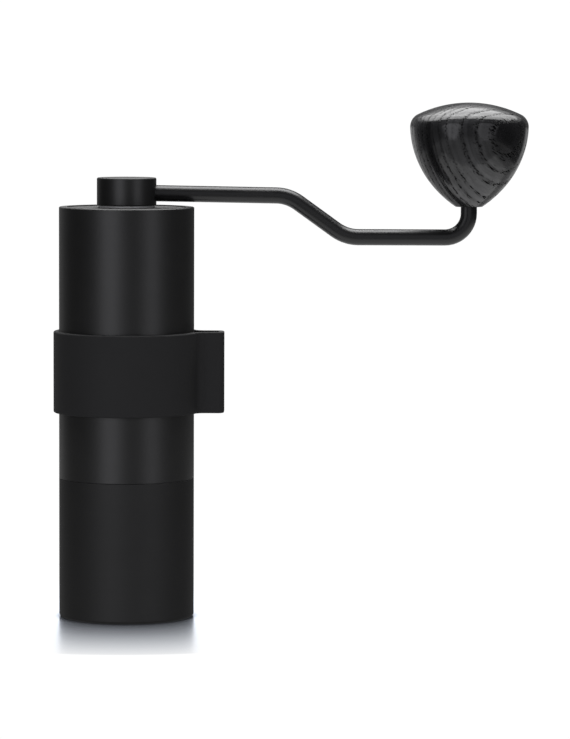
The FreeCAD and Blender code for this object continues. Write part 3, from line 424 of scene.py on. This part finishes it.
def knob():
    """Turned wooden knob with the relief of its growth rings in the mesh."""
    bm = bmesh.new()
    growth = bm.verts.layers.float.new("growth")
    rings = []
    for radius, height in knob_outline():
        ring = circle(bm, radius, height, KNOB_SEGMENTS, KNOB_X)
        for vertex in ring:
            vertex[growth] = ring_count(vertex.co)
            outward = (vertex.co - KNOB_CORE).normalized()
            vertex.co -= outward * RING_RELIEF * early_wood(vertex[growth])
        rings.append(ring)
    for low, high in zip(rings, rings[1:]):
        bridge(bm, low, high)
    apex = bm.verts.new((KNOB_X, 0, KNOB_Z + KNOB_H - RING_RELIEF))
    apex[growth] = ring_count(apex.co)
    last = rings[-1]
    for here in range(KNOB_SEGMENTS):
        bm.faces.new((last[here], last[(here + 1) % KNOB_SEGMENTS], apex))
    add_foot(bm, rings[0], growth)
    piece = piece_from(bm, "knob_wood", MATERIALS["stained_wood"])
    piece.data.shade_smooth()
    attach(piece, "knob")
    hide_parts("knob_body")
    return piece


def add_foot(bm, rim, growth):
    """Flat foot of the knob around the bush, and the wall of the hole that the bush fills."""
    middle_r = 0.5 * (FOOT_R + BUSH_R)
    outer = rim
    for radius, height in ((middle_r, KNOB_Z), (BUSH_R, KNOB_Z), (BUSH_R, KNOB_Z + BUSH_HOLE_DEPTH)):
        ring = circle(bm, radius, height, KNOB_SEGMENTS, KNOB_X)
        for vertex in ring:
            vertex[growth] = ring_count(vertex.co)
        bridge(bm, ring, outer)
        outer = ring


KNOB_WOOD = knob()


# ---- Washer under the hub ----
HUB_GAP = 0.9 * MM
WASHER_PLAY = 0.03 * MM
WASHER_BREAK = 0.12 * MM         # chamfer of its outer edges
WASHER_INNER_R = 6.9 * MM
WASHER_OUTER_R = 10.4 * MM
WASHER_SEGMENTS = 160


def hub_washer():
    """Thin washer between the lid and the hub's drum, with its edges broken."""
    low = LID_TOP + WASHER_PLAY
    high = LID_TOP + HUB_GAP - WASHER_PLAY
    flat_r = WASHER_OUTER_R - WASHER_BREAK
    profile = [(WASHER_INNER_R, low), (flat_r, low), (WASHER_OUTER_R, low + WASHER_BREAK),
               (WASHER_OUTER_R, high - WASHER_BREAK), (flat_r, high), (WASHER_INNER_R, high)]
    bm = bmesh.new()
    rings = [circle(bm, radius, height, WASHER_SEGMENTS) for radius, height in profile]
    for ring, following in zip(rings, rings[1:] + rings[:1]):
        bridge(bm, ring, following)
    piece = piece_from(bm, "hub_washer", washer_grey())
    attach(piece, "crank")


hub_washer()


# ---- Camera ----
CAMERA_PLACE = Vector((0.0587, -1.440, 0.207))
CAMERA_AIM = Vector((0.0587, 0, 0.0919))
CAMERA_ROLL = math.radians(0.2)
LENS_MM = 189.9
SENSOR_MM = 36.0


def camera():
    """Long lens a little above the rim, aimed between the body and the knob."""
    data = bpy.data.cameras.new("camera")
    data.lens = LENS_MM
    data.sensor_width = SENSOR_MM
    data.clip_start = 0.05
    data.clip_end = 30.0
    view = bpy.data.objects.new("camera", data)
    bpy.context.scene.collection.objects.link(view)
    view.location = CAMERA_PLACE
    look = (CAMERA_AIM - CAMERA_PLACE).to_track_quat("-Z", "Y")
    view.rotation_euler = (look @ Quaternion((0, 0, 1), CAMERA_ROLL)).to_euler()
    bpy.context.scene.camera = view


camera()


# ---- Light ----
COOL_WHITE = (1.0, 1.0, 1.05)    # colour of the softboxes
SOFTBOX_DISTANCE = 1.3
SOFTBOX_Z = 0.35
SOFTBOX_H = 1.3
SOFTBOX_AIM = (0, 0, 0.12)
CEILING_Z = 1.20
TABLE_Z = -0.001
MIDDLE_X = 0.06                  # about halfway between the body and the knob


def panel(name, centre, width, depth, radiance, aim, only=None, never=None, shape="RECTANGLE"):
    """Flat area light of a given brightness, kept to some pieces or off them."""
    data = bpy.data.lights.new(name, "AREA")
    data.shape = shape
    data.size = width
    data.size_y = depth
    data.energy = radiance * math.pi * width * depth * (math.pi / 4 if shape == "ELLIPSE" else 1)
    lamp = bpy.data.objects.new(name, data)
    bpy.context.scene.collection.objects.link(lamp)
    lamp.location = centre
    lamp.rotation_euler = (Vector(aim) - Vector(centre)).to_track_quat("-Z", "Y").to_euler()
    lamp.visible_camera = False
    if only or never:
        receivers = bpy.data.collections.new(name + "_receivers")
        lamp.light_linking.receiver_collection = receivers
        for piece in only or never:
            receivers.objects.link(piece)
        if never:
            for link in receivers.collection_objects:
                link.light_linking.link_state = "EXCLUDE"
    return data


def softbox(name, azimuth, width, radiance, **options):
    """Upright, slightly cool softbox. Azimuth 0 is the camera's side and +90 is +X."""
    angle = math.radians(azimuth)
    centre = (SOFTBOX_DISTANCE * math.sin(angle), -SOFTBOX_DISTANCE * math.cos(angle), SOFTBOX_Z)
    data = panel(name, centre, width, SOFTBOX_H, radiance, SOFTBOX_AIM, **options)
    data.color = COOL_WHITE


def ceiling(name, x, y, width, depth, radiance, **options):
    """Level panel overhead, facing down."""
    panel(name, (x, y, CEILING_Z), width, depth, radiance, (x, y, 0.0), **options)


def table(name, x, y, width, depth, radiance, **options):
    """Level panel in the table's top, facing up, for the light that the table throws back."""
    panel(name, (x, y, TABLE_Z), width, depth, radiance, (x, y, 1.0), **options)


BLACK = [NODES[name] for name in ("crank_hub", "lid_disc", "body_tube", "catch_cup",
                                  "storage_band", "lid_retainer", "hub_nut")]
ARM = [NODES["crank_arm"]]
LID = [NODES["lid_disc"], NODES["body_tube"]]
CUP = [NODES["catch_cup"]]
KNOB = [KNOB_WOOD]

# The arm and the knob are lit on their own, as their bright and dark stripes lie elsewhere.
softbox("key_left", -25, 0.72, 2.04, never=ARM + KNOB)
softbox("key_right", 45, 0.52, 1.60, never=ARM + KNOB)
softbox("knob_left", -32, 0.95, 1.25, only=KNOB, shape="ELLIPSE")
softbox("knob_right", 34, 1.10, 0.85, only=KNOB, shape="ELLIPSE")
softbox("arm_left", -47, 0.80, 0.82, only=ARM)
softbox("arm_right", 12, 1.10, 0.40, only=ARM)
ceiling("overhead_arm", MIDDLE_X, 0.24, 1.3, 0.88, 7.0, only=ARM)
table("table_arm", 0.10, 0.15, 1.0, 0.80, 0.55, only=ARM)
ceiling("overhead", MIDDLE_X, 0.385, 1.3, 1.27, 6.0, only=BLACK)
panel("overhead_high", (MIDDLE_X, 1.10, 0.93), 1.3, 0.54, 1.6, (MIDDLE_X, 0.0, 0.93), only=BLACK)
ceiling("overhead_lid", 0.0, 0.20, 1.3, 0.50, 5.0, only=LID)
ceiling("overhead_soft", MIDDLE_X, 0.385, 1.3, 1.27, 1.3, never=BLACK + ARM + KNOB)
table("table", MIDDLE_X, 0.0, 0.8, 0.8, 0.35, never=CUP)
table("table_cup", MIDDLE_X, 0.0, 0.8, 0.8, 0.20, only=CUP)
panel("backdrop", (0.0, 1.4, 0.35), 2.6, 1.3, 0.09, (0.0, 0.0, 0.1))
panel("backdrop_left", (-0.9, 1.2, 0.35), 1.2, 1.3, 0.16, (0.0, 0.0, 0.1))
panel("backdrop_knob", (0.1, 1.4, -0.175), 2.6, 0.65, 0.40, (0.1, 0.0, -0.175), only=KNOB)

# Three panels that lie over each other, so that the glow under the knob fades towards the camera.
GLOW_BACK_Y = 0.08
for step, reach in enumerate((0.74, 0.58, 0.44)):
    table(f"table_knob_{step}", 0.1, GLOW_BACK_Y - reach / 2, 1.0, reach, 0.23, only=KNOB)
table("table_near", 0.12, -0.02, 0.5, 0.26, 1.0, only=KNOB)
ceiling("knob_top", KNOB_X, 0.31, 2.6, 0.94, 5.8, only=KNOB, shape="ELLIPSE")
ceiling("knob_sky", KNOB_X, 0.66, 3.0, 1.70, 3.4, only=KNOB, shape="ELLIPSE")
ceiling("knob_far", KNOB_X, 1.00, 4.4, 2.40, 0.6, only=KNOB, shape="ELLIPSE")

ROOM_GLOW = 0.03
SURROUND_WHITE = 1.02


def white_surround():
    """White behind the object for the camera, and a dim room for everything else."""
    world = bpy.data.worlds.new("surround")
    bpy.context.scene.world = world
    world.use_nodes = True
    tree = world.node_tree
    tree.nodes.clear()
    path = tree.nodes.new("ShaderNodeLightPath")
    mix = tree.nodes.new("ShaderNodeMixShader")
    output = tree.nodes.new("ShaderNodeOutputWorld")
    tree.links.new(path.outputs["Is Camera Ray"], mix.inputs["Fac"])
    for socket, strength in ((1, ROOM_GLOW), (2, SURROUND_WHITE)):
        background = tree.nodes.new("ShaderNodeBackground")
        background.inputs["Color"].default_value = (1, 1, 1, 1)
        background.inputs["Strength"].default_value = strength
        tree.links.new(background.outputs[0], mix.inputs[socket])
    tree.links.new(mix.outputs[0], output.inputs["Surface"])


white_surround()


# ---- Floor ----
FLOOR_R = 2.5
FLOOR_DROP = 0.05 * MM           # keeps the floor clear of the cup's foot
FLOOR_WHITE = 1.2
DOME_LIGHT_R = 2.4
MIRROR_ROUGHNESS = 0.27
MIRROR_REACH = 75 * MM           # from the body's side to the end of the mirror
MIRROR_SHARE = [(0.0, 1.0), (0.03, 0.985), (0.1, 0.945), (0.3, 0.82), (0.5, 0.65),
                (0.7, 0.465), (0.9, 0.27), (0.95, 0.21), (0.98, 0.0)]
MIRROR_TINT = [(0.0, (0.85, 0.90, 1.0)), (0.3, (0.85, 0.888, 0.955)),
               (0.9, (0.85, 0.863, 0.885)), (1.0, 0.85)]
PAINTED_SHADOW_REACH = 4 * MM           # from the body's side to the end of the painted contact shadow at the foot
# Painted contact shadow: how bright the floor's white and mirror are, from the body's side outwards.
PAINTED_CONTACT_SHADOW = [(0.0, 0.60), (0.08, 0.70), (0.25, 0.83), (0.44, 0.92), (0.62, 0.96), (1.0, 1.0)]


def floor():
    """White floor with a soft mirror near the foot, which fades with distance from the object, and a
    painted contact shadow around the foot.
    """
    bpy.ops.mesh.primitive_circle_add(
        vertices=96, radius=FLOOR_R, fill_type="NGON", location=(0, 0, -FLOOR_DROP))
    ground = bpy.context.object
    ground.name = "floor"
    shader = Shader("floor")
    split = shader.add("ShaderNodeSeparateXYZ")
    shader.join(shader.coordinates(), split, "Vector")
    squares = [shader.math("MULTIPLY", split.outputs[axis], split.outputs[axis]) for axis in "XY"]
    radius = shader.math("SQRT", shader.math("ADD", *squares))
    outside = shader.math("SUBTRACT", radius, BODY_R)
    reach = shader.math("DIVIDE", outside, MIRROR_REACH, clamp=True)
    near = shader.math("DIVIDE", outside, PAINTED_SHADOW_REACH, clamp=True)
    # Painted contact shadow: the floor's white and its mirror are darkened right around the foot, and
    # tinted blue near the body.
    shade = shader.blend(1.0, shader.ramp(near, PAINTED_CONTACT_SHADOW), shader.ramp(reach, MIRROR_TINT), "MULTIPLY")
    white = shader.add("ShaderNodeEmission")
    white.inputs["Strength"].default_value = FLOOR_WHITE
    shader.join(shade, white, "Color")
    mirror = shader.add("ShaderNodeBsdfGlossy")
    mirror.inputs["Roughness"].default_value = MIRROR_ROUGHNESS
    shader.join(shade, mirror, "Color")
    mix = shader.add("ShaderNodeMixShader")
    shader.join(shader.ramp(reach, MIRROR_SHARE), mix, "Fac")
    shader.join(white, mix, 1)
    shader.join(mirror, mix, 2)
    shader.join(mix, shader.output, "Surface")
    ground.data.materials.append(shader.material)
    ground.visible_diffuse = False
    ground.visible_glossy = False
    ground.visible_shadow = False
    return ground


def floor_light(ground):
    """White dome that only the floor sees, so that its mirror shows white wherever the object is not."""
    bpy.ops.mesh.primitive_uv_sphere_add(
        segments=48, ring_count=24, radius=DOME_LIGHT_R, location=(0, 0, 0))
    dome = bpy.context.object
    dome.name = "floor_light"
    shader = Shader("floor_light")
    white = shader.add("ShaderNodeEmission")
    white.inputs["Strength"].default_value = FLOOR_WHITE
    both = shader.add("ShaderNodeAddShader")
    shader.join(shader.add("ShaderNodeBsdfTransparent"), both, 0)
    shader.join(white, both, 1)
    shader.join(both, shader.output, "Surface")
    dome.data.materials.append(shader.material)
    dome.visible_camera = False
    dome.visible_shadow = False
    receivers = bpy.data.collections.new("floor_light_receivers")
    receivers.objects.link(ground)
    dome.light_linking.receiver_collection = receivers


floor_light(floor())

bpy.context.scene.view_settings.view_transform = "Standard"
